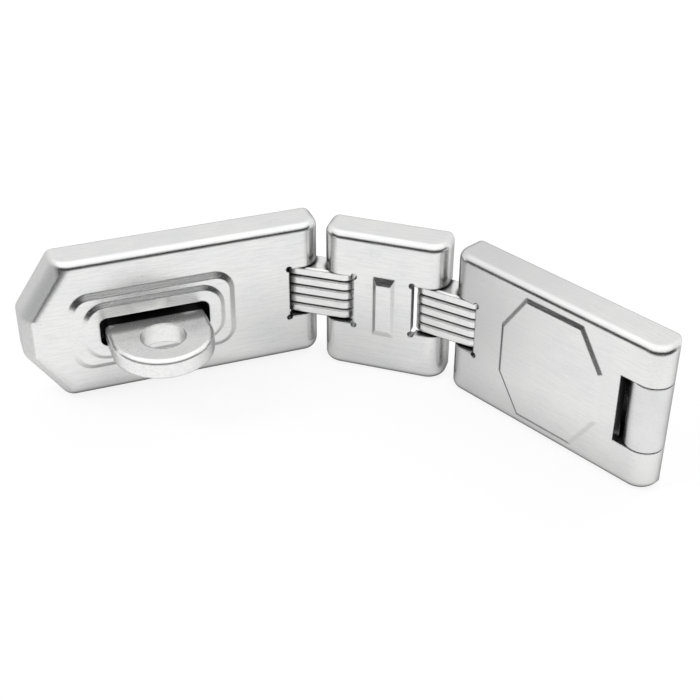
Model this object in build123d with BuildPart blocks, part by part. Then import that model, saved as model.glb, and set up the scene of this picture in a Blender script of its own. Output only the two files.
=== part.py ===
from build123d import *
import os

# Leaves: pressed steel shells, open at the back (millimetres)
leaf_width = 44.0  # upright, along the pins
slotted_length = 86.0
middle_length = 36.5
cover_length = 70.0
sheet = 3.0  # wall of the leaves and of the base plate
edge_radius = 2.2  # bend between a front face and its flanges
rim_radius = 2.4  # rounding of the flange corners beside a joint
rim_setback = 0.4  # rims stop this far short of the mounting plane

# Pins, concealed in curls at the leaf ends
pin_diameter = 4.7
running_gap = 0.05  # radial, pin in link, knuckle or curl
seat_gap = 0.02  # radial, pin in the flange that holds it
pin_cover = 1.2  # metal left over the blind upper end of a pin
pin_recess = 0.4  # lower end of a pin inside its flange
pin_chamfer = 0.5

# Links: two stacks of loose plates
link_spacing = 14.4  # pin to pin
link_end = 3.6  # past the pins, and the radius of the corners
link_flat = 1.0  # flat of the ends between their rounded corners
link_thickness = 3.0
link_gap = 0.1  # between neighbouring plates
link_count = 5
link_chamfer = 0.5
notch_gap = 0.2  # folded link to the bottom of its notch
stack_gap = 0.3  # stack to the notch's upper and lower edges
stack_lift = 0.6  # stacks and notches sit above mid-width by this much
relief_radius = 0.9  # round reliefs in the notch corners

# Pressed panels
emboss_rise = 1.0
emboss_taper = 60.0  # degrees
emboss_draw = 1.6  # the press mark behind is this much smaller all round
rib_width = 6.5
rib_height = 19.4
rib_side = 1.2  # slope along the rib, seen from the front
rib_end = 2.2  # slope at the rib's ends, seen from the front
rib_shift = 0.4  # from the middle of the leaf
octagon_rise = 0.7
octagon_width = 34.0
octagon_margin = 0.9  # to the bends of the flanges
octagon_cut_along = 7.5
octagon_cut_up = 11.4
octagon_shift = 2.2  # from the middle between notch and knuckle slot

# Slotted leaf: chamfered free end, collar and lip round the slot
end_run = 10.5
end_rise = 15.5
end_radius = 4.0
collar_side = 8.0
collar_top = 7.7
collar_radius = 6.0
lip_margin = 4.7
lip_rise = 0.8
slot_gap_along = 1.4
slot_gap_up = 1.5
slot_radius = 2.2

# Staple: eye riveted into a screw plate
eye_width = 28.4
eye_thickness = 6.0
eye_reach = 24.2  # in front of the leaf
eye_centre = 36.4  # from the leaf's free end
eye_hole_diameter = 12.5
eye_hole_reach = 11.4
eye_round = 1.4
staple_drop = 1.3  # the staple stands lower in its slot by this much
tenon_width = 7.0
tenon_height = 4.4
tenon_spacing = 17.0
tenon_recess = 0.2
plate_thickness = 3.0
plate_gap = 0.6
plate_radius = 3.0
staple_hole_square = 25.0

# Base plate behind the cover leaf
knuckle_height = 19.8
knuckle_gap = 0.3  # to the slot above and below
swing_gap = 0.8  # between the knuckle and the edge of its slot
barrel_hook = 1.5  # how far the barrel curls past its pin
seam = 0.6  # slit where the knuckle closes on its plate
base_hole_along = 30.0
base_hole_up = 22.0
screw_hole_diameter = 5.2
screw_head_diameter = 9.6

# Rest pose: bends from straight, towards the front
cover_link_bend = 16.0
link_middle_bend = 12.6
middle_link_bend = 1.7
link_slotted_bend = 36.3

# Sizes that follow
pin_radius = pin_diameter / 2
curl_radius = pin_radius + running_gap + sheet
leaf_depth = 2 * curl_radius - rim_setback
half_width = leaf_width / 2
hollow_half = half_width - sheet
link_depth = 2 * link_end + link_flat
notch_depth = curl_radius + link_depth / 2 + notch_gap
link_pitch = link_thickness + link_gap
stack_height = link_count * link_pitch - link_gap
notch_height = stack_height + 2 * stack_gap
knuckle_slot = cover_length - 2 * curl_radius - swing_gap
base_left = notch_depth + plate_gap
base_middle = (base_left + knuckle_slot) / 2
base_back = 2 * curl_radius


def leaf_plan(pin, along, heading):
    # Plan of a leaf: x along it, y into its depth, from its left end on the front face, at mid-width
    x_dir = Vector(1, 0, 0).rotate(Axis.Z, heading)
    y_dir = Vector(0, 1, 0).rotate(Axis.Z, heading)
    return Plane(origin=pin - x_dir * along - y_dir * curl_radius, x_dir=x_dir, z_dir=(0, 0, 1))


def front_of(plan):
    # Front face of a leaf: x along it, y up, looking out
    return Plane(origin=plan.origin, x_dir=plan.x_dir, z_dir=-plan.y_dir)


def pin_at(plan, along):
    return plan.from_local_coords(Vector(along, curl_radius, 0))


def link_step(heading):
    return Vector(link_spacing, 0, 0).rotate(Axis.Z, heading)


# The chain at rest, from the cover leaf on its base plate to the slotted leaf
link_b_heading = cover_link_bend
middle_heading = link_b_heading + link_middle_bend
link_a_heading = middle_heading + middle_link_bend
slotted_heading = link_a_heading + link_slotted_bend

cover_plan = Plane(origin=(-base_middle, -base_back, 0))
cover_pin_point = pin_at(cover_plan, curl_radius)
base_pin_point = pin_at(cover_plan, cover_length - curl_radius)
middle_right_point = cover_pin_point - link_step(link_b_heading)
middle_plan = leaf_plan(middle_right_point, middle_length - curl_radius, middle_heading)
middle_left_point = pin_at(middle_plan, curl_radius)
slotted_pin_point = middle_left_point - link_step(link_a_heading)
slotted_plan = leaf_plan(slotted_pin_point, slotted_length - curl_radius, slotted_heading)

cover_front = front_of(cover_plan)
middle_front = front_of(middle_plan)
slotted_front = front_of(slotted_plan)

os.makedirs("parts", exist_ok=True)


def notch_outline(front, end, inward):
    # Notch for a link stack in the end of a leaf, with round reliefs in its inner corners
    with BuildSketch(front) as outline:
        with Locations((end, stack_lift)):
            Rectangle(2 * notch_depth, notch_height)
        with Locations((end + inward * notch_depth, stack_lift)):
            with GridLocations(0, notch_height, 1, 2):
                Circle(relief_radius)
    return outline.sketch


def rim_corner(plan, end, inward):
    # What is cut from a flange to round its corner beside a joint
    with BuildSketch(plan.offset(-half_width)) as corner:
        with Locations((end, leaf_depth)):
            Rectangle(2 * rim_radius, 2 * rim_radius)
        with Locations((end + inward * rim_radius, leaf_depth - rim_radius)):
            Circle(rim_radius, mode=Mode.SUBTRACT)
    return corner.sketch


def pin_bore(plan, along):
    # Section of a pin's seat, from below the leaf
    with BuildSketch(plan.offset(-half_width)) as bore:
        with Locations((along, curl_radius)):
            Circle(pin_radius + seat_gap)
    return bore.sketch


def rib_outline(plane, side, end):
    with BuildSketch(plane) as outline:
        with Locations((middle_length / 2 + rib_shift, 0)):
            Rectangle(rib_width - 2 * side, rib_height - 2 * end)
    return outline.sketch


# Middle leaf: a shell with curls and notches at both ends and an upright rib
with BuildPart() as middle_leaf:
    with BuildSketch(middle_front):
        with Locations((middle_length / 2, 0)):
            Rectangle(middle_length, leaf_width)
    extrude(amount=-leaf_depth)
    depth = Axis(middle_plan.origin, middle_plan.y_dir)
    along = Axis(middle_plan.origin, middle_plan.x_dir)
    fillet(middle_leaf.edges().filter_by(Axis.Z).sort_by(depth)[:2], curl_radius)
    offset(amount=-sheet, openings=middle_leaf.faces().sort_by(depth)[-1])
    fillet(middle_leaf.faces().sort_by(depth)[0].edges().filter_by(along), edge_radius)
    for end, inward in ((0, 1), (middle_length, -1)):
        extrude(rim_corner(middle_plan, end, inward), amount=leaf_width, mode=Mode.SUBTRACT)
        extrude(notch_outline(middle_front, end, inward), amount=-leaf_depth, mode=Mode.SUBTRACT)
        bore = pin_bore(middle_plan, end + inward * curl_radius)
        extrude(bore, amount=leaf_width - pin_cover, mode=Mode.SUBTRACT)
    rib_foot = rib_outline(middle_front, 0, 0)
    rib_top = rib_outline(middle_front.offset(emboss_rise), rib_side, rib_end)
    loft([rib_foot.face(), rib_top.face()])
    press_mark = rib_outline(middle_front.offset(-sheet), emboss_draw, emboss_draw)
    extrude(press_mark, amount=emboss_rise, mode=Mode.SUBTRACT)
middle_leaf.part.label = "middle_leaf"
export_step(middle_leaf.part, "parts/middle_leaf.step")

# Cover leaf: notched at the left, rolled into a barrel at the right, with an eight-sided panel
barrel_along = cover_length - curl_radius
octagon_centre = (notch_depth + knuckle_slot) / 2 + octagon_shift
octagon_half_along = octagon_width / 2
octagon_half_up = half_width - edge_radius - octagon_margin


def octagon_outline(plane, inset):
    half_along = octagon_half_along - inset
    half_up = octagon_half_up - inset
    flat_along = half_along - octagon_cut_along + inset / 2
    flat_up = half_up - octagon_cut_up + inset / 2
    with BuildSketch(plane) as outline:
        with BuildLine():
            Polyline(
                (-half_along, -flat_up),
                (-flat_along, -half_up),
                (flat_along, -half_up),
                (half_along, -flat_up),
                (half_along, flat_up),
                (flat_along, half_up),
                (-flat_along, half_up),
                (-half_along, flat_up),
                close=True,
            )
        make_face()
    return outline.sketch


with BuildPart() as cover_leaf:
    with BuildSketch(cover_front):
        with Locations((cover_length / 2, 0)):
            Rectangle(cover_length, leaf_width)
    extrude(amount=-leaf_depth)
    fillet(cover_leaf.edges().filter_by(Axis.Z).sort_by(Axis.Y)[:2], curl_radius)
    offset(amount=-sheet, openings=cover_leaf.faces().sort_by(Axis.Y)[-1])
    fillet(cover_leaf.faces().sort_by(Axis.Y)[0].edges().filter_by(Axis.X), edge_radius)
    extrude(rim_corner(cover_plan, 0, 1), amount=leaf_width, mode=Mode.SUBTRACT)
    extrude(notch_outline(cover_front, 0, 1), amount=-leaf_depth, mode=Mode.SUBTRACT)
    with BuildSketch(cover_plan.offset(-half_width)):
        with Locations((barrel_along + curl_radius, curl_radius)):
            Rectangle(2 * curl_radius, 2 * leaf_depth, align=(Align.CENTER, Align.MIN))
        with Locations((barrel_along, curl_radius)):
            Circle(curl_radius, mode=Mode.SUBTRACT)
    extrude(amount=leaf_width, mode=Mode.SUBTRACT)
    with BuildSketch(cover_plan.offset(-hollow_half)):
        with Locations((barrel_along, curl_radius)):
            Circle(curl_radius)
            Circle(curl_radius - sheet, mode=Mode.SUBTRACT)
        with Locations((barrel_along - barrel_hook, curl_radius)):
            Rectangle(
                curl_radius + barrel_hook,
                leaf_depth - curl_radius,
                align=Align.MIN,
                mode=Mode.INTERSECT,
            )
    extrude(amount=2 * hollow_half)
    with BuildSketch(cover_front):
        with Locations((knuckle_slot, 0)):
            Rectangle(cover_length, knuckle_height + 2 * knuckle_gap, align=(Align.MIN, Align.CENTER))
    extrude(amount=-leaf_depth, mode=Mode.SUBTRACT)
    for pin_along in (curl_radius, barrel_along):
        bore = pin_bore(cover_plan, pin_along)
        extrude(bore, amount=leaf_width - pin_cover, mode=Mode.SUBTRACT)
    panel_centre = cover_front.from_local_coords(Vector(octagon_centre, 0, 0))
    panel = Plane(panel_centre, cover_front.x_dir, cover_front.z_dir)
    extrude(octagon_outline(panel, 0), amount=octagon_rise, taper=emboss_taper)
    extrude(octagon_outline(panel.offset(-sheet), emboss_draw), amount=octagon_rise, mode=Mode.SUBTRACT)
cover_leaf.part.label = "cover_leaf"
export_step(cover_leaf.part, "parts/cover_leaf.step")

# Slotted leaf: chamfered at its free end, with a raised collar round the slot for the eye
slot_length = eye_width + 2 * slot_gap_along
slot_height = eye_thickness + 2 * slot_gap_up
collar_length = slot_length + 2 * collar_side
collar_height = slot_height + 2 * collar_top


def slot_outline(plane, grow):
    with BuildSketch(plane) as outline:
        with Locations((eye_centre, 0)):
            RectangleRounded(slot_length + 2 * grow, slot_height + 2 * grow, slot_radius + grow)
    return outline.sketch


with BuildPart() as slotted_leaf:
    with BuildSketch(slotted_front) as blank:
        with BuildLine():
            Polyline(
                (0, end_rise - half_width),
                (end_run, -half_width),
                (slotted_length, -half_width),
                (slotted_length, half_width),
                (end_run, half_width),
                (0, half_width - end_rise),
                close=True,
            )
        make_face()
        fillet(blank.vertices().sort_by(slotted_front.location.x_axis)[:4], end_radius)
    extrude(amount=-leaf_depth)
    depth = Axis(slotted_plan.origin, slotted_plan.y_dir)
    along = Axis(slotted_plan.origin, slotted_plan.x_dir)
    joint_end = slotted_leaf.edges().filter_by(Axis.Z).sort_by(along)[-2:]
    fillet(joint_end.sort_by(depth)[0], curl_radius)
    offset(amount=-sheet, openings=slotted_leaf.faces().sort_by(depth)[-1])
    fillet(slotted_leaf.faces().sort_by(depth)[0].edges().filter_by(along), edge_radius)
    extrude(rim_corner(slotted_plan, slotted_length, -1), amount=leaf_width, mode=Mode.SUBTRACT)
    extrude(notch_outline(slotted_front, slotted_length, -1), amount=-leaf_depth, mode=Mode.SUBTRACT)
    bore = pin_bore(slotted_plan, slotted_length - curl_radius)
    extrude(bore, amount=leaf_width - pin_cover, mode=Mode.SUBTRACT)
    with BuildSketch(slotted_front):
        with Locations((eye_centre, 0)):
            RectangleRounded(collar_length, collar_height, collar_radius)
    extrude(amount=emboss_rise, taper=emboss_taper)
    with BuildSketch(slotted_front.offset(-sheet)):
        with Locations((eye_centre, 0)):
            RectangleRounded(
                collar_length - 2 * emboss_draw,
                collar_height - 2 * emboss_draw,
                collar_radius - emboss_draw,
            )
    extrude(amount=emboss_rise, mode=Mode.SUBTRACT)
    collar_face = slotted_front.offset(emboss_rise)
    extrude(slot_outline(collar_face, lip_margin), amount=lip_rise, taper=emboss_taper)
    extrude(slot_outline(collar_face.offset(lip_rise), 0), amount=-leaf_depth, mode=Mode.SUBTRACT)
slotted_leaf.part.label = "slotted_leaf"
export_step(slotted_leaf.part, "parts/slotted_leaf.step")

# Staple plate: stands on the lower flange inside the slotted leaf, its back just proud of the rims
plate_left = end_run + sheet + plate_gap
plate_right = slotted_length - notch_depth - plate_gap
plate_face = front_of(slotted_plan).offset(plate_thickness - base_back)
plate_height = 2 * (hollow_half - staple_drop)

with BuildPart() as staple_plate:
    with BuildSketch(plate_face.offset(-plate_thickness)):
        with Locations((plate_left, -hollow_half)):
            RectangleRounded(plate_right - plate_left, plate_height, plate_radius, align=Align.MIN)
        with Locations((eye_centre, -staple_drop)):
            with GridLocations(tenon_spacing, 0, 2, 1):
                Rectangle(tenon_width, tenon_height, mode=Mode.SUBTRACT)
    extrude(amount=plate_thickness)
    with Locations(plate_face):
        with Locations((eye_centre, -staple_drop)):
            with GridLocations(staple_hole_square, staple_hole_square, 2, 2):
                CounterSinkHole(screw_hole_diameter / 2, screw_head_diameter / 2, plate_thickness, 90)
staple_plate.part.label = "staple_plate"
export_step(staple_plate.part, "parts/staple_plate.step")

# Staple eye: a slab with a round end and a hole for the shackle, two tenons behind its shoulder
eye_radius = eye_width / 2
eye_shoulder = base_back - plate_thickness
eye_foot = slotted_plan.offset(-staple_drop - eye_thickness / 2)

with BuildPart() as staple_eye:
    with BuildSketch(eye_foot):
        with Locations((eye_centre, eye_radius - eye_reach)):
            Circle(eye_radius)
            Rectangle(eye_width, eye_shoulder + eye_reach - eye_radius, align=(Align.CENTER, Align.MIN))
    extrude(amount=eye_thickness)
    rounded = staple_eye.faces().filter_by(Axis.Z).edges()
    shoulder = rounded.sort_by(Axis(slotted_plan.origin, slotted_plan.y_dir))[-2:]
    fillet(rounded - shoulder, eye_round)
    with BuildSketch(eye_foot):
        with Locations((eye_centre, -eye_hole_reach)):
            Circle(eye_hole_diameter / 2)
    extrude(amount=eye_thickness, mode=Mode.SUBTRACT)
    with BuildSketch(plate_face):
        with Locations((eye_centre, -staple_drop)):
            with GridLocations(tenon_spacing, 0, 2, 1):
                Rectangle(tenon_width, tenon_height)
    extrude(amount=tenon_recess - plate_thickness)
staple_eye.part.label = "staple_eye"
export_step(staple_eye.part, "parts/staple_eye.step")

# Base plate: flat behind the cover leaf, its tongue rolled into a knuckle round the base pin
base_front = front_of(cover_plan).offset(sheet - base_back)
tongue_half = knuckle_height / 2
base_half = hollow_half - plate_gap

with BuildPart() as base_plate:
    with BuildSketch(base_front.offset(-sheet)) as sheet_outline:
        with Locations((base_left, 0)):
            RectangleRounded(
                knuckle_slot - base_left, 2 * base_half, plate_radius, align=(Align.MIN, Align.CENTER)
            )
        with Locations((base_middle, 0)):
            Rectangle(barrel_along - base_middle, knuckle_height, align=(Align.MIN, Align.CENTER))
    extrude(amount=sheet)
    with BuildSketch(cover_plan.offset(-tongue_half)):
        with Locations((barrel_along, curl_radius)):
            Circle(curl_radius)
    extrude(amount=knuckle_height)
    with BuildSketch(cover_plan.offset(-tongue_half)):
        with Locations((barrel_along, curl_radius)):
            Circle(pin_radius + running_gap)
        with Locations((barrel_along, base_back - sheet)):
            Rectangle(2 * curl_radius, seam, align=(Align.MAX, Align.MAX))
    extrude(amount=knuckle_height, mode=Mode.SUBTRACT)
    with Locations(base_front):
        with Locations((base_middle, 0)):
            with GridLocations(base_hole_along, base_hole_up, 2, 2):
                CounterSinkHole(screw_hole_diameter / 2, screw_head_diameter / 2, sheet, 90)
base_plate.part.label = "base_plate"
export_step(base_plate.part, "parts/base_plate.step")

# Pins: driven in from below, blind at the top
pin_length = leaf_width - pin_cover - pin_recess
pin_points = {
    "slotted_pin": slotted_pin_point,
    "middle_left_pin": middle_left_point,
    "middle_right_pin": middle_right_point,
    "cover_pin": cover_pin_point,
    "base_pin": base_pin_point,
}
for name, point in pin_points.items():
    foot = Plane(origin=point + Vector(0, 0, pin_recess - half_width))
    with BuildPart() as pin:
        with BuildSketch(foot):
            Circle(pin_radius)
        extrude(amount=pin_length)
        chamfer(pin.edges().filter_by(GeomType.CIRCLE), pin_chamfer)
    pin.part.label = name
    export_step(pin.part, f"parts/{name}.step")

# Link plates: stacked between two pins, numbered from the lowest
stacks = {
    "link_a": (slotted_pin_point, link_a_heading),
    "link_b": (middle_right_point, link_b_heading),
}
for stack, (point, heading) in stacks.items():
    step = link_step(heading)
    for number in range(link_count):
        height = stack_lift + number * link_pitch - stack_height / 2
        middle = point + step / 2 + Vector(0, 0, height)
        with BuildPart() as link:
            with BuildSketch(Plane(origin=middle, x_dir=step, z_dir=(0, 0, 1))):
                RectangleRounded(link_spacing + 2 * link_end, link_depth, link_end)
            extrude(amount=link_thickness)
            chamfer(link.faces().filter_by(Axis.Z).edges(), link_chamfer)
            with BuildSketch(Plane(origin=middle, x_dir=step, z_dir=(0, 0, 1))):
                with GridLocations(link_spacing, 0, 2, 1):
                    Circle(pin_radius + running_gap)
            extrude(amount=link_thickness, mode=Mode.SUBTRACT)
        name = f"{stack}_{number + 1}"
        link.part.label = name
        export_step(link.part, f"parts/{name}.step")
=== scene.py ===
import math
import bpy
import numpy as np
from mathutils import Matrix, Vector


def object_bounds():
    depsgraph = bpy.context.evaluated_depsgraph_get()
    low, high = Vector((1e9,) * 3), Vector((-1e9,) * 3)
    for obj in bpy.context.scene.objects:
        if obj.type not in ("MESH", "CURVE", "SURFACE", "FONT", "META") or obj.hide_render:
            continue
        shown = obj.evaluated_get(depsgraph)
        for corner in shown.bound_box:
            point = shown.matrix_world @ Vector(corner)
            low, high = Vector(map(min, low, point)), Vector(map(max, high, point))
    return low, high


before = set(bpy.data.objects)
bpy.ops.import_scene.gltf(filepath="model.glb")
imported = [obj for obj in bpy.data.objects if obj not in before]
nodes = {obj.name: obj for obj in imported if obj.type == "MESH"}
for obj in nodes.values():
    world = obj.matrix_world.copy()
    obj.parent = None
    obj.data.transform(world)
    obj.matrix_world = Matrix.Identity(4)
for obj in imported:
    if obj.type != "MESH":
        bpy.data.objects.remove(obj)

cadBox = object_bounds()  # the CAD model's own box, before anything is added

# helpers for shader trees
rising, falling = (0.0, 1.0), (1.0, 0.0)  # what a mask runs from and to
mixA, mixB, mixResult = 6, 7, 2  # colour sockets of a Mix node
nodeStep = {"across": 220, "down": 280}  # spacing in the node editor


def feed(tree, socket, value):
    # another node's output is joined to the socket, a plain value is set on it
    if hasattr(value, "is_linked"):
        tree.links.new(value, socket)
    elif socket.type == "RGBA":
        socket.default_value = (*value, 1.0)
    else:
        socket.default_value = value


def addNode(tree, kind, feeds=None, **settings):
    made = tree.nodes.new(kind)
    for key, value in settings.items():
        setattr(made, key, value)
    for label, value in (feeds or {}).items():
        feed(tree, made.inputs[label], value)
    return made


def mathNode(tree, operation, a, b, clamp=False):
    return addNode(tree, "ShaderNodeMath", {0: a, 1: b}, operation=operation, use_clamp=clamp).outputs[0]


def rangeNode(tree, value, span, to=rising, smooth=True):
    # runs from one number to another while the value crosses the span
    feeds = {"Value": value, "From Min": span[0], "From Max": span[1], "To Min": to[0], "To Max": to[1]}
    course = "SMOOTHSTEP" if smooth else "LINEAR"
    return addNode(tree, "ShaderNodeMapRange", feeds, interpolation_type=course).outputs["Result"]


def mixColour(tree, factor, colourA, colourB):
    feeds = {"Factor": factor, mixA: colourA, mixB: colourB}
    return addNode(tree, "ShaderNodeMix", feeds, data_type="RGBA").outputs[mixResult]


def alongLine(tree, vector, direction):
    # how far a point or a view line reaches along a direction
    feeds = {0: vector, 1: Vector(direction).normalized()}
    return addNode(tree, "ShaderNodeVectorMath", feeds, operation="DOT_PRODUCT").outputs["Value"]


def layOut(tree):
    # each node stands one column to the right of the last node that feeds it
    columns, filled = {}, {}

    def columnOf(node):
        if node.name not in columns:
            feeders = [link.from_node for link in tree.links if link.to_node == node]
            columns[node.name] = 1 + max((columnOf(feeder) for feeder in feeders), default=-1)
        return columns[node.name]

    for node in tree.nodes:
        column = columnOf(node)
        row = filled.get(column, 0)
        node.location = (column * nodeStep["across"], -row * nodeStep["down"])
        filled[column] = row + 1


def newGroup(name, inputs, outputs):
    # inputs and outputs give the kind of each named socket
    tree = bpy.data.node_groups.new(name, "ShaderNodeTree")
    for direction, sockets in (("INPUT", inputs), ("OUTPUT", outputs)):
        for label, kind in sockets.items():
            tree.interface.new_socket(name=label, in_out=direction, socket_type="NodeSocket" + kind)
    return tree, addNode(tree, "NodeGroupInput").outputs, addNode(tree, "NodeGroupOutput").inputs


def placeGroup(tree, group, **feeds):
    return addNode(tree, "ShaderNodeGroup", feeds, node_tree=group).outputs


def newMaterial(name):
    made = bpy.data.materials.new(name)
    made.use_nodes = True
    made.node_tree.nodes.clear()
    return made, made.node_tree


# platingGrain: noise drawn out along X is the grain of rolled sheet, slow noise its clouding,
# and small cells where the clouding is heavy its pits
grainLook = {
    "grainDetail": 5.0, "grainRough": 0.62,
    "cloudScale": 95.0, "cloudDetail": 4.0, "cloudRough": 0.55,
    "pitScale": 1500.0, "pitSpan": (0.05, 0.22), "pitWhere": (0.5, 0.68),
}


def makePlatingGrain(look):
    tree, entry, leave = newGroup(
        "platingGrain",
        {"Vector": "Vector", "Stretch": "Float", "Fineness": "Float"},
        {"Grain": "Float", "Cloud": "Float", "Pits": "Float"},
    )
    place = addNode(tree, "ShaderNodeSeparateXYZ", {0: entry["Vector"]}).outputs
    alongX = mathNode(tree, "DIVIDE", place["X"], entry["Stretch"])
    drawn = addNode(tree, "ShaderNodeCombineXYZ", {"X": alongX, "Y": place["Y"], "Z": place["Z"]}).outputs[0]
    grain = addNode(tree, "ShaderNodeTexNoise", {
        "Vector": drawn, "Scale": entry["Fineness"],
        "Detail": look["grainDetail"], "Roughness": look["grainRough"],
    }).outputs["Fac"]
    cloud = addNode(tree, "ShaderNodeTexNoise", {
        "Vector": entry["Vector"], "Scale": look["cloudScale"],
        "Detail": look["cloudDetail"], "Roughness": look["cloudRough"],
    }).outputs["Fac"]
    cells = addNode(tree, "ShaderNodeTexVoronoi", {"Vector": entry["Vector"], "Scale": look["pitScale"]})
    pit = rangeNode(tree, cells.outputs["Distance"], look["pitSpan"], falling)
    sparse = rangeNode(tree, cloud, look["pitWhere"])
    feed(tree, leave["Grain"], grain)
    feed(tree, leave["Cloud"], cloud)
    feed(tree, leave["Pits"], mathNode(tree, "MULTIPLY", pit, sparse))
    layOut(tree)
    return tree


# edge wear and painted shade: how far the rounded normal leaves the sharp one marks the worn edges, broken up
# by noise;
# metal close by marks the nooks, and metal all round marks the hollows, where shade is painted
wearAndShadeLook = {
    "bevelSamples": 6, "bareSpan": (0.80, 0.995),
    "patchScale": 420.0, "patchDetail": 6.0, "patchSpan": (0.38, 0.62), "patchLeast": 0.25,
    "closeSamples": 8, "hollowReach": 0.014, "hollowSpan": (0.08, 0.34),
}


def makeEdgeWearAndShade(look):
    tree, entry, leave = newGroup(
        "edgeWearAndShade",
        {"Vector": "Vector", "Radius": "Float", "Reach": "Float", "Dark": "Float", "Clear": "Float"},
        {"Edge": "Float", "Nook": "Float", "Hollow": "Float", "Normal": "Vector"},
    )
    bevel = addNode(tree, "ShaderNodeBevel", {"Radius": entry["Radius"]}, samples=look["bevelSamples"])
    rounded = bevel.outputs["Normal"]
    sharp = addNode(tree, "ShaderNodeNewGeometry").outputs["Normal"]
    lean = addNode(tree, "ShaderNodeVectorMath", {0: rounded, 1: sharp}, operation="DOT_PRODUCT")
    bare = rangeNode(tree, lean.outputs["Value"], look["bareSpan"], falling)
    patches = addNode(tree, "ShaderNodeTexNoise", {
        "Vector": entry["Vector"], "Scale": look["patchScale"], "Detail": look["patchDetail"],
    }).outputs["Fac"]
    patchy = rangeNode(tree, patches, look["patchSpan"], (look["patchLeast"], 1.0))

    def openness(reach):
        # 1 in the open, 0 where metal closes the place in
        return addNode(
            tree, "ShaderNodeAmbientOcclusion", {"Distance": reach}, samples=look["closeSamples"],
        ).outputs["AO"]

    nook = rangeNode(tree, openness(entry["Reach"]), (entry["Dark"], entry["Clear"]), falling)
    hollow = rangeNode(tree, openness(look["hollowReach"]), look["hollowSpan"], falling)
    feed(tree, leave["Edge"], mathNode(tree, "MULTIPLY", bare, patchy))
    feed(tree, leave["Nook"], nook)
    feed(tree, leave["Hollow"], hollow)
    feed(tree, leave["Normal"], rounded)
    layOut(tree)
    return tree


# hairScratches: thin lines, one wave pattern bent by noise and kept only in patches
scratchLook = {
    "lineScale": 130.0, "lineBend": 5.0, "lineDetail": 2.0, "lineDetailScale": 0.35, "lineSpan": (0.965, 1.0),
    "patchScale": 160.0, "patchDetail": 3.0, "patchSpan": (0.55, 0.66),
}


def makeHairScratches(look):
    tree, entry, leave = newGroup(
        "hairScratches",
        {"Vector": "Vector", "Turn": "Float", "Amount": "Float"},
        {"Scratch": "Float"},
    )
    turned = addNode(tree, "ShaderNodeVectorRotate", {
        "Vector": entry["Vector"], "Angle": entry["Turn"],
    }, rotation_type="Y_AXIS").outputs[0]
    lines = addNode(tree, "ShaderNodeTexWave", {
        "Vector": turned, "Scale": look["lineScale"], "Distortion": look["lineBend"],
        "Detail": look["lineDetail"], "Detail Scale": look["lineDetailScale"],
    }, wave_type="BANDS", bands_direction="Z").outputs["Fac"]
    patches = addNode(tree, "ShaderNodeTexNoise", {
        "Vector": turned, "Scale": look["patchScale"], "Detail": look["patchDetail"],
    }).outputs["Fac"]
    thin = rangeNode(tree, lines, look["lineSpan"])
    kept = rangeNode(tree, patches, look["patchSpan"])
    both = mathNode(tree, "MULTIPLY", thin, kept)
    feed(tree, leave["Scratch"], mathNode(tree, "MULTIPLY", both, entry["Amount"]))
    layOut(tree)
    return tree


platingGrain = makePlatingGrain(grainLook)
edgeWearAndShade = makeEdgeWearAndShade(wearAndShadeLook)
hairScratches = makeHairScratches(scratchLook)
print("shared effects ready")


def paintedShadeMask(tree, look, wearAndShade, place):
    # painted shade in the nooks, less of it low down, in the hollows, and on all that lies past one depth
    lift = rangeNode(tree, place["Z"], look["nookLift"], (look["nookLow"], 1.0))
    nook = mathNode(tree, "MULTIPLY", mathNode(tree, "MULTIPLY", wearAndShade["Nook"], look["nookShade"]), lift)
    hollow = mathNode(tree, "MULTIPLY", wearAndShade["Hollow"], look["hollowShade"])
    hidden = rangeNode(tree, place["Y"], (look["hiddenFrom"], look["hiddenFrom"] + look["hiddenFade"]))
    return mathNode(tree, "MAXIMUM", mathNode(tree, "MAXIMUM", hollow, hidden), nook)


def groundMask(tree, look, place):
    # matt ground rim of a leaf's end: short of one place along X and past one depth along Y
    end = rangeNode(tree, place["X"], (look["groundTo"] - look["groundFade"], look["groundTo"]), falling)
    rim = rangeNode(tree, place["Y"], (look["groundDepth"], look["groundDepth"] + look["groundEdge"]))
    return mathNode(tree, "MULTIPLY", end, rim)


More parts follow.
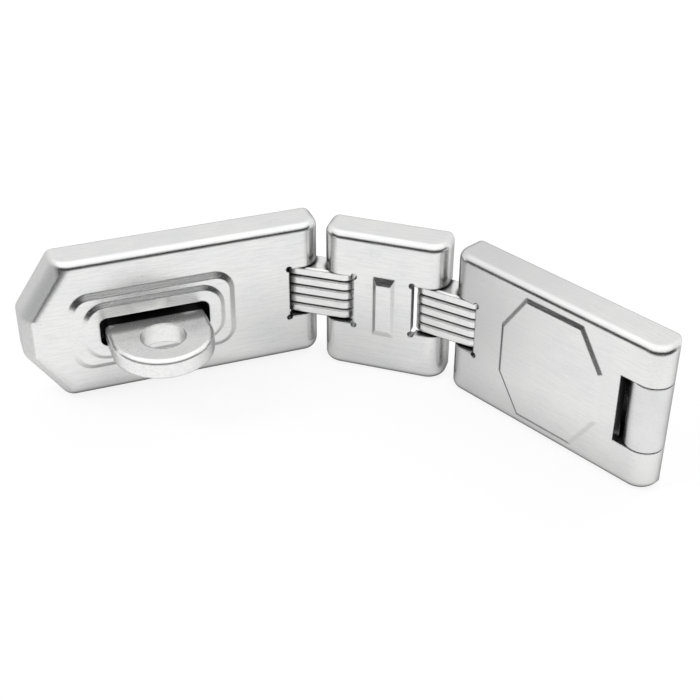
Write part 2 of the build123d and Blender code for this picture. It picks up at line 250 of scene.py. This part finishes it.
# platedSteel: bright plating over drawn sheet, its pattern turned to run along its own leaf
def platedSteel(name, look):
    made, tree = newMaterial(name)
    where = addNode(tree, "ShaderNodeTexCoord").outputs["Object"]
    turn = (0.0, 0.0, -math.radians(look["heading"]))
    vector = addNode(tree, "ShaderNodeMapping", {"Vector": where, "Rotation": turn}).outputs["Vector"]
    place = addNode(tree, "ShaderNodeSeparateXYZ", {0: vector}).outputs
    grain = placeGroup(tree, platingGrain, Vector=vector, Stretch=look["stretch"], Fineness=look["fineness"])
    wearAndShade = placeGroup(
        tree, edgeWearAndShade, Vector=vector, Radius=look["edgeRadius"],
        Reach=look["nookReach"], Dark=look["nookDark"], Clear=look["nookClear"],
    )
    scratch = placeGroup(
        tree, hairScratches, Vector=vector, Turn=look["scratchTurn"], Amount=look["scratches"],
    )

    clouds = rangeNode(tree, grain["Cloud"], look["cloudSpan"])
    streaks = rangeNode(tree, grain["Grain"], look["grainSpan"], (0.0, look["grainTone"]))
    pits = mathNode(tree, "MULTIPLY", grain["Pits"], look["pits"])
    # painted shade: the leaf turns greyer towards the low end of X, in the grain's colour
    endShade = rangeNode(tree, place["X"], look["endShadeSpan"], (look["endShade"], 0.0))
    # painted shade: near black in the nooks, in the hollows and past one depth
    paintedShade = paintedShadeMask(tree, look, wearAndShade, place)
    edges = mathNode(tree, "MULTIPLY", wearAndShade["Edge"], look["edgeShine"])

    colour = look["colour"]
    layers = (
        (clouds, "cloudColour"), (streaks, "grainAndEndShadeColour"), (pits, "pitColour"),
        (endShade, "grainAndEndShadeColour"), (paintedShade, "nookShadeColour"), (edges, "edgeColour"),
    )
    for mask, shade in layers:
        colour = mixColour(tree, mask, colour, look[shade])

    rough = rangeNode(tree, grain["Grain"], look["roughSpan"], look["rough"], smooth=False)
    ground = groundMask(tree, look, place)
    for mask, share in ((grain["Cloud"], "cloudRough"), (paintedShade, "nookRough"), (ground, "groundRough")):
        rough = mathNode(tree, "ADD", rough, mathNode(tree, "MULTIPLY", mask, look[share]))
    polish = mathNode(tree, "MULTIPLY", edges, look["edgePolish"])
    rough = mathNode(tree, "SUBTRACT", rough, polish, clamp=True)

    height = mathNode(tree, "SUBTRACT", mathNode(tree, "SUBTRACT", grain["Grain"], scratch["Scratch"]), pits)
    bump = addNode(tree, "ShaderNodeBump", {
        "Strength": look["bump"], "Distance": look["bumpDepth"], "Height": height, "Normal": wearAndShade["Normal"],
    })
    shader = addNode(tree, "ShaderNodeBsdfPrincipled", {
        "Base Color": colour, "Metallic": look["metal"], "Roughness": rough,
        "Specular Tint": look["grazing"], "Normal": bump.outputs["Normal"],
    })
    addNode(tree, "ShaderNodeOutputMaterial", {"Surface": shader.outputs[0]})
    layOut(tree)
    return made


# lengths are in metres, and places and depths are along the leaf's own turned axes
never = 9.0  # past every piece, for an effect that a finish leaves out
leafLook = {
    "heading": 0.0, "stretch": 16.0, "fineness": 2400.0,  # the grain's direction in degrees, length and scale
    "colour": (0.81, 0.81, 0.80), "cloudColour": (0.77, 0.775, 0.775), "cloudSpan": (0.32, 0.68),
    "grainAndEndShadeColour": (0.66, 0.66, 0.66), "grainTone": 0.25, "grainSpan": (0.42, 0.66),
    "pitColour": (0.42, 0.42, 0.42), "pits": 0.35, "scratchTurn": 0.5, "scratches": 0.5,
    "endShade": 0.0, "endShadeSpan": (-0.034, 0.026),  # painted shade: greyer at the low end of X, fading over this stretch
    "edgeRadius": 0.0005, "edgeColour": (0.88, 0.88, 0.87), "edgeShine": 0.5, "edgePolish": 0.06,
    # the near-black colour here is painted shade for nooks, hollows and all past hiddenFrom
    "nookShadeColour": (0.03, 0.03, 0.03), "nookShade": 0.80, "nookRough": 0.2, "nookReach": 0.0035,
    "nookDark": 0.25, "nookClear": 0.95,  # openness where the painted nook shade is full and where it ends
    "nookLow": 0.8, "nookLift": (-0.004, 0.006),  # share of painted nook shade low down, and the heights that it grows over
    "hollowShade": 0.95, "hiddenFrom": never, "hiddenFade": 0.0006,  # painted shade in the hollows, and all is painted dark deeper in than hiddenFrom
    "groundTo": -never, "groundFade": 0.002,  # matt rim, ground at the end of a leaf
    "groundDepth": never, "groundEdge": 0.0003, "groundRough": 0.0,
    "rough": (0.15, 0.26), "roughSpan": (0.3, 0.7), "cloudRough": 0.06, "bump": 0.14, "bumpDepth": 0.00008,
    "grazing": (0.40, 0.40, 0.40), "metal": 1.0,
}
finishes = {
    # the slotted, middle and cover leaves share one plating; their colours step down from slotted to cover as
    # painted light and shade, for how brightly each leaf is lit
    "slottedPlating": {
        **leafLook, "heading": 66.6, "colour": (0.86, 0.86, 0.85), "cloudColour": (0.82, 0.825, 0.825),
        "groundTo": -0.1255, "groundDepth": 0.0550, "groundRough": 0.4,
    },
    "middlePlating": {
        **leafLook, "heading": 28.6, "colour": (0.85, 0.85, 0.84), "cloudColour": (0.81, 0.815, 0.815),
        "scratchTurn": 0.9, "nookShade": 0.85,
    },
    "coverPlating": {
        **leafLook, "colour": (0.83, 0.83, 0.82), "cloudColour": (0.80, 0.80, 0.80),
        "scratchTurn": 0.3, "endShade": 0.8,
    },
    "eyeForging": {
        **leafLook, "heading": 66.6, "colour": (0.92, 0.92, 0.91), "cloudColour": (0.87, 0.87, 0.87),
        "stretch": 2.0, "fineness": 1500.0, "hiddenFrom": 0.0527, "nookShade": 0.4, "metal": 0.8,
    },
    "linkPlating": {
        **leafLook, "heading": 23.0, "colour": (0.90, 0.90, 0.89), "cloudColour": (0.87, 0.87, 0.87),
        "stretch": 8.0, "edgeRadius": 0.0004, "nookReach": 0.0014, "nookDark": 0.6, "nookClear": 1.0,
        "nookShade": 0.92, "nookLow": 0.9,
    },
    "platePlating": {
        **leafLook, "colour": (0.78, 0.78, 0.78), "cloudColour": (0.72, 0.72, 0.725), "scratches": 0.8,
    },
    "pinSteel": {
        **leafLook, "colour": (0.52, 0.52, 0.53), "cloudColour": (0.46, 0.46, 0.47), "stretch": 1.0,
    },
}
nodeFinish = {
    "slotted_leaf": "slottedPlating", "middle_leaf": "middlePlating", "cover_leaf": "coverPlating",
    "staple_eye": "eyeForging", "staple_plate": "platePlating", "base_plate": "platePlating",
}
plated = {name: platedSteel(name, look) for name, look in finishes.items()}
for name, node in nodes.items():
    finish = nodeFinish.get(name, "linkPlating" if name.startswith("link_") else "pinSteel")
    node.data.materials.clear()
    node.data.materials.append(plated[finish])
print("finishes on", len(nodes), "nodes")


# floor and world: white to look at, while the metal mirrors dim parts that draw its edges
objectMiddle = (-0.045, -0.03, 0.0)
studio = {
    "white": (1.0, 1.0, 1.0), "dim": (0.04, 0.04, 0.041),
    "dimSide": (0.70, -0.71, 0.0),  # from the object towards the camera, in plan
    "floorLevel": cadBox[0][2], "floorSize": 4.0, "floorSteps": 8,
    "floorColour": (0.94, 0.94, 0.94), "floorGlow": 0.86,
    "sweepSpan": (0.11, 0.20),  # the floor turns dim this far out on the camera's side
    "backDim": (0.16, 0.16, 0.16), "backSpan": (-0.055, -0.03),  # dim patch behind the object
    "backLeft": (-0.10, -0.06), "backRight": (0.028, 0.036),
    "footReach": 0.02, "footSamples": 4,  # shade close under the object
    "footSpan": (0.45, 0.98), "footShade": 0.45,
    "cornerAt": (-0.060, -0.034), "cornerReach": 0.045, "cornerShade": 0.32,  # shade in the bend
    "sideSpan": (-0.20, 0.12), "dimSpan": (0.465, 0.53),  # the world's dim part, by side and by height
    "overWhite": (1.25, 1.25, 1.25), "overSpan": (0.62, 0.90),  # brighter overhead
    "fill": 0.75,  # the world's light on matt surfaces
}


def floorSheet(look):
    # flat sheet: x and y run over a square grid at one height
    half, steps = look["floorSize"] / 2, look["floorSteps"]
    line = np.linspace(-half, half, steps + 1)
    across, along = np.meshgrid(line, line, indexing="ij")
    points = np.stack([across, along, np.full_like(across, look["floorLevel"])], axis=-1).reshape(-1, 3)
    index = np.arange(points.shape[0]).reshape(steps + 1, steps + 1)
    quads = np.stack([index[:-1, :-1], index[1:, :-1], index[1:, 1:], index[:-1, 1:]], axis=-1).reshape(-1, 4)
    mesh = bpy.data.meshes.new("studioFloor")
    mesh.from_pydata(points.tolist(), [], quads.tolist())
    return mesh


def floorPaint(look):
    made, tree = newMaterial("studioFloor")
    point = addNode(tree, "ShaderNodeTexCoord").outputs["Object"]
    path = addNode(tree, "ShaderNodeLightPath").outputs
    moved = addNode(tree, "ShaderNodeVectorMath", {0: point, 1: objectMiddle}, operation="SUBTRACT")
    offset = moved.outputs[0]
    toward = alongLine(tree, offset, look["dimSide"])
    sideX, sideY, _ = look["dimSide"]
    sideways = alongLine(tree, offset, (-sideY, sideX, 0.0))

    far = rangeNode(tree, toward, look["sweepSpan"])
    behind = rangeNode(tree, toward, look["backSpan"], falling)
    fromLeft = rangeNode(tree, sideways, look["backLeft"])
    toRight = rangeNode(tree, sideways, look["backRight"], falling)
    patch = mathNode(tree, "MULTIPLY", behind, mathNode(tree, "MULTIPLY", fromLeft, toRight))
    close = addNode(
        tree, "ShaderNodeAmbientOcclusion", {"Distance": look["footReach"]}, samples=look["footSamples"],
    ).outputs["AO"]
    foot = rangeNode(tree, close, look["footSpan"], (look["footShade"], 0.0))
    corner = (*look["cornerAt"], look["floorLevel"])
    away = addNode(tree, "ShaderNodeVectorMath", {0: point, 1: corner}, operation="DISTANCE").outputs["Value"]
    bend = rangeNode(tree, away, (0.0, look["cornerReach"]), (look["cornerShade"], 0.0))
    under = mathNode(tree, "MAXIMUM", foot, bend)

    tint = look["white"]
    for mask, shade in ((far, "dim"), (patch, "backDim"), (under, "dim")):
        mirrored = mathNode(tree, "MULTIPLY", mask, path["Is Glossy Ray"])
        tint = mixColour(tree, mirrored, tint, look[shade])
    seen = mathNode(tree, "MAXIMUM", path["Is Camera Ray"], path["Is Glossy Ray"])
    seen = mathNode(tree, "MAXIMUM", seen, path["Is Transmission Ray"])
    share = mathNode(tree, "MULTIPLY", seen, look["floorGlow"])  # the rest is matt and takes the shadow
    matt = addNode(tree, "ShaderNodeBsdfDiffuse", {"Color": look["floorColour"]}).outputs[0]
    glow = addNode(tree, "ShaderNodeEmission", {"Color": tint}).outputs[0]
    both = addNode(tree, "ShaderNodeMixShader", {0: share, 1: matt, 2: glow}).outputs[0]
    addNode(tree, "ShaderNodeOutputMaterial", {"Surface": both})
    layOut(tree)
    return made


def makeFloor(look):
    mesh = floorSheet(look)
    mesh.materials.append(floorPaint(look))
    floor = bpy.data.objects.new("studioFloor", mesh)
    bpy.context.scene.collection.objects.link(floor)


def makeWorld(look):
    # white all round, brighter overhead, and dim low down on the camera's side
    world = bpy.data.worlds.new("studioWorld")
    world.use_nodes = True
    bpy.context.scene.world = world
    tree = world.node_tree
    tree.nodes.clear()
    direction = addNode(tree, "ShaderNodeTexCoord").outputs["Generated"]
    path = addNode(tree, "ShaderNodeLightPath").outputs
    height = addNode(tree, "ShaderNodeSeparateXYZ", {0: direction}).outputs["Z"]
    side = rangeNode(tree, alongLine(tree, direction, look["dimSide"]), look["sideSpan"])
    low = rangeNode(tree, height, look["dimSpan"], falling)
    bright = mixColour(tree, rangeNode(tree, height, look["overSpan"]), look["white"], look["overWhite"])
    tint = mixColour(tree, mathNode(tree, "MULTIPLY", side, low), bright, look["dim"])
    mirrored = mathNode(tree, "MAXIMUM", path["Is Glossy Ray"], path["Is Transmission Ray"])
    level = rangeNode(tree, mirrored, rising, (look["fill"], 1.0), smooth=False)
    around = addNode(tree, "ShaderNodeBackground", {"Color": tint, "Strength": level}).outputs[0]
    backdrop = addNode(tree, "ShaderNodeBackground", {"Color": look["white"]}).outputs[0]
    both = addNode(tree, "ShaderNodeMixShader", {0: path["Is Camera Ray"], 1: around, 2: backdrop}).outputs[0]
    addNode(tree, "ShaderNodeOutputWorld", {"Surface": both})
    layOut(tree)


makeFloor(studio)
makeWorld(studio)

lampLooks = {
    "keyPanel": {"at": (-0.55, -0.75, 0.85), "size": 0.6, "power": 5.0},
    "sidePanel": {"at": (0.75, -0.15, 0.65), "size": 0.5, "power": 2.5},
    "backPanel": {"at": (-0.10, 0.85, 0.80), "size": 0.7, "power": 3.5},
}


def aimMatrix(place, forward, roll):
    # right and up follow from the view line and the vertical, then the roll turns them about the view line
    right = forward.cross(Vector((0, 0, 1))).normalized()
    up = right.cross(forward).normalized()
    turned = Matrix((right, up, -forward)).transposed().to_4x4() @ Matrix.Rotation(roll, 4, "Z")
    turned.translation = place
    return turned


for name, look in lampLooks.items():
    light = bpy.data.lights.new(name, "AREA")
    light.size = look["size"]
    light.energy = look["power"]
    lamp = bpy.data.objects.new(name, light)
    bpy.context.scene.collection.objects.link(lamp)
    place = Vector(look["at"])
    lamp.matrix_world = aimMatrix(place, (Vector(objectMiddle) - place).normalized(), 0.0)
    lamp.visible_glossy = False  # the metal mirrors the room, not the panels
print("studio lit by", len(lampLooks), "panels")

# camera: place, pitch and focal length fitted to the photograph's outlines
cameraLook = {
    "place": (0.17968, -0.25330, 0.20261), "heading": 46.351, "pitch": 33.497, "roll": 0.327,
    "focalPixels": 1351.5, "imagePixels": 700.0, "sensor": 36.0, "clipStart": 0.01,
}
cameraData = bpy.data.cameras.new("photoCamera")
cameraData.sensor_width = cameraLook["sensor"]
cameraData.lens = cameraLook["focalPixels"] / cameraLook["imagePixels"] * cameraLook["sensor"]
cameraData.clip_start = cameraLook["clipStart"]
camera = bpy.data.objects.new("photoCamera", cameraData)
bpy.context.scene.collection.objects.link(camera)
heading, pitch, roll = (math.radians(cameraLook[angle]) for angle in ("heading", "pitch", "roll"))
level = math.cos(pitch)
viewLine = Vector((-math.sin(heading) * level, math.cos(heading) * level, -math.sin(pitch)))
camera.matrix_world = aimMatrix(Vector(cameraLook["place"]), viewLine, roll)
bpy.context.scene.camera = camera
bpy.context.scene.view_settings.view_transform = "Standard"
print("camera set")
